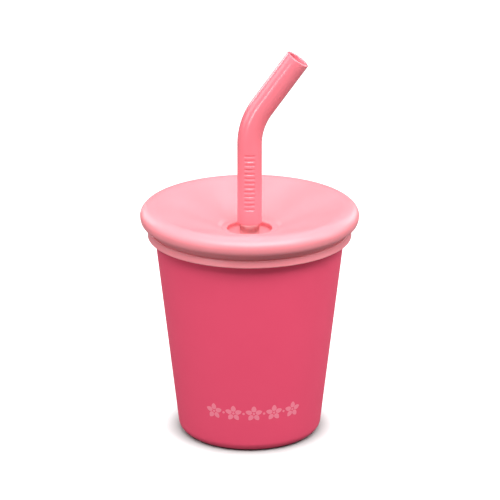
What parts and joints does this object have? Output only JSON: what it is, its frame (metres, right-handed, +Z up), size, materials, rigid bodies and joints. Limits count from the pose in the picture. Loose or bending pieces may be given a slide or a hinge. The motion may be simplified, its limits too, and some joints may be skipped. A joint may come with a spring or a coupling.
{
  "type": "sippy cup",
  "caption": "Child's tapered steel drinking cup with a dished stretch-fit silicone lid and a steel straw that ends in a bent soft mouthpiece.",
  "frame": {"origin": "centre of the cup's base ring, on the surface that the cup stands on", "axes": "+Z up along the cup's axis; the bent mouthpiece leans towards +X; the object is symmetric about the XZ plane"},
  "size_m": [0.0874, 0.0874, 0.1578],
  "materials": {
    "cup_paint": "fine matt powder coat in deep pink",
    "lid_silicone": "smooth satin silicone in light pink",
    "straw_steel": "polished stainless steel",
    "tip_silicone": "satin silicone in mid pink"
  },
  "bodies": {
    "cup": {"cup_body": "cup_paint"},
    "lid": {"lid": "lid_silicone"},
    "straw": {"straw_tube": "straw_steel"},
    "mouthpiece": {"straw_tip": "tip_silicone"}
  },
  "joints": [
    {"name": "lid_lift", "type": "slide", "parent": "cup", "child": "lid", "axis": [0, 0, 1], "range_m": [0, 0.1]},
    {"name": "straw_slide", "type": "slide", "parent": "lid", "child": "straw", "axis": [0, 0, 1], "range_m": [-0.0042, 0.066]},
    {"name": "tip_swivel", "type": "hinge", "parent": "straw", "child": "mouthpiece", "pos_m": [0, 0, 0.1], "axis": [0, 0, 1], "continuous": true}
  ]
}
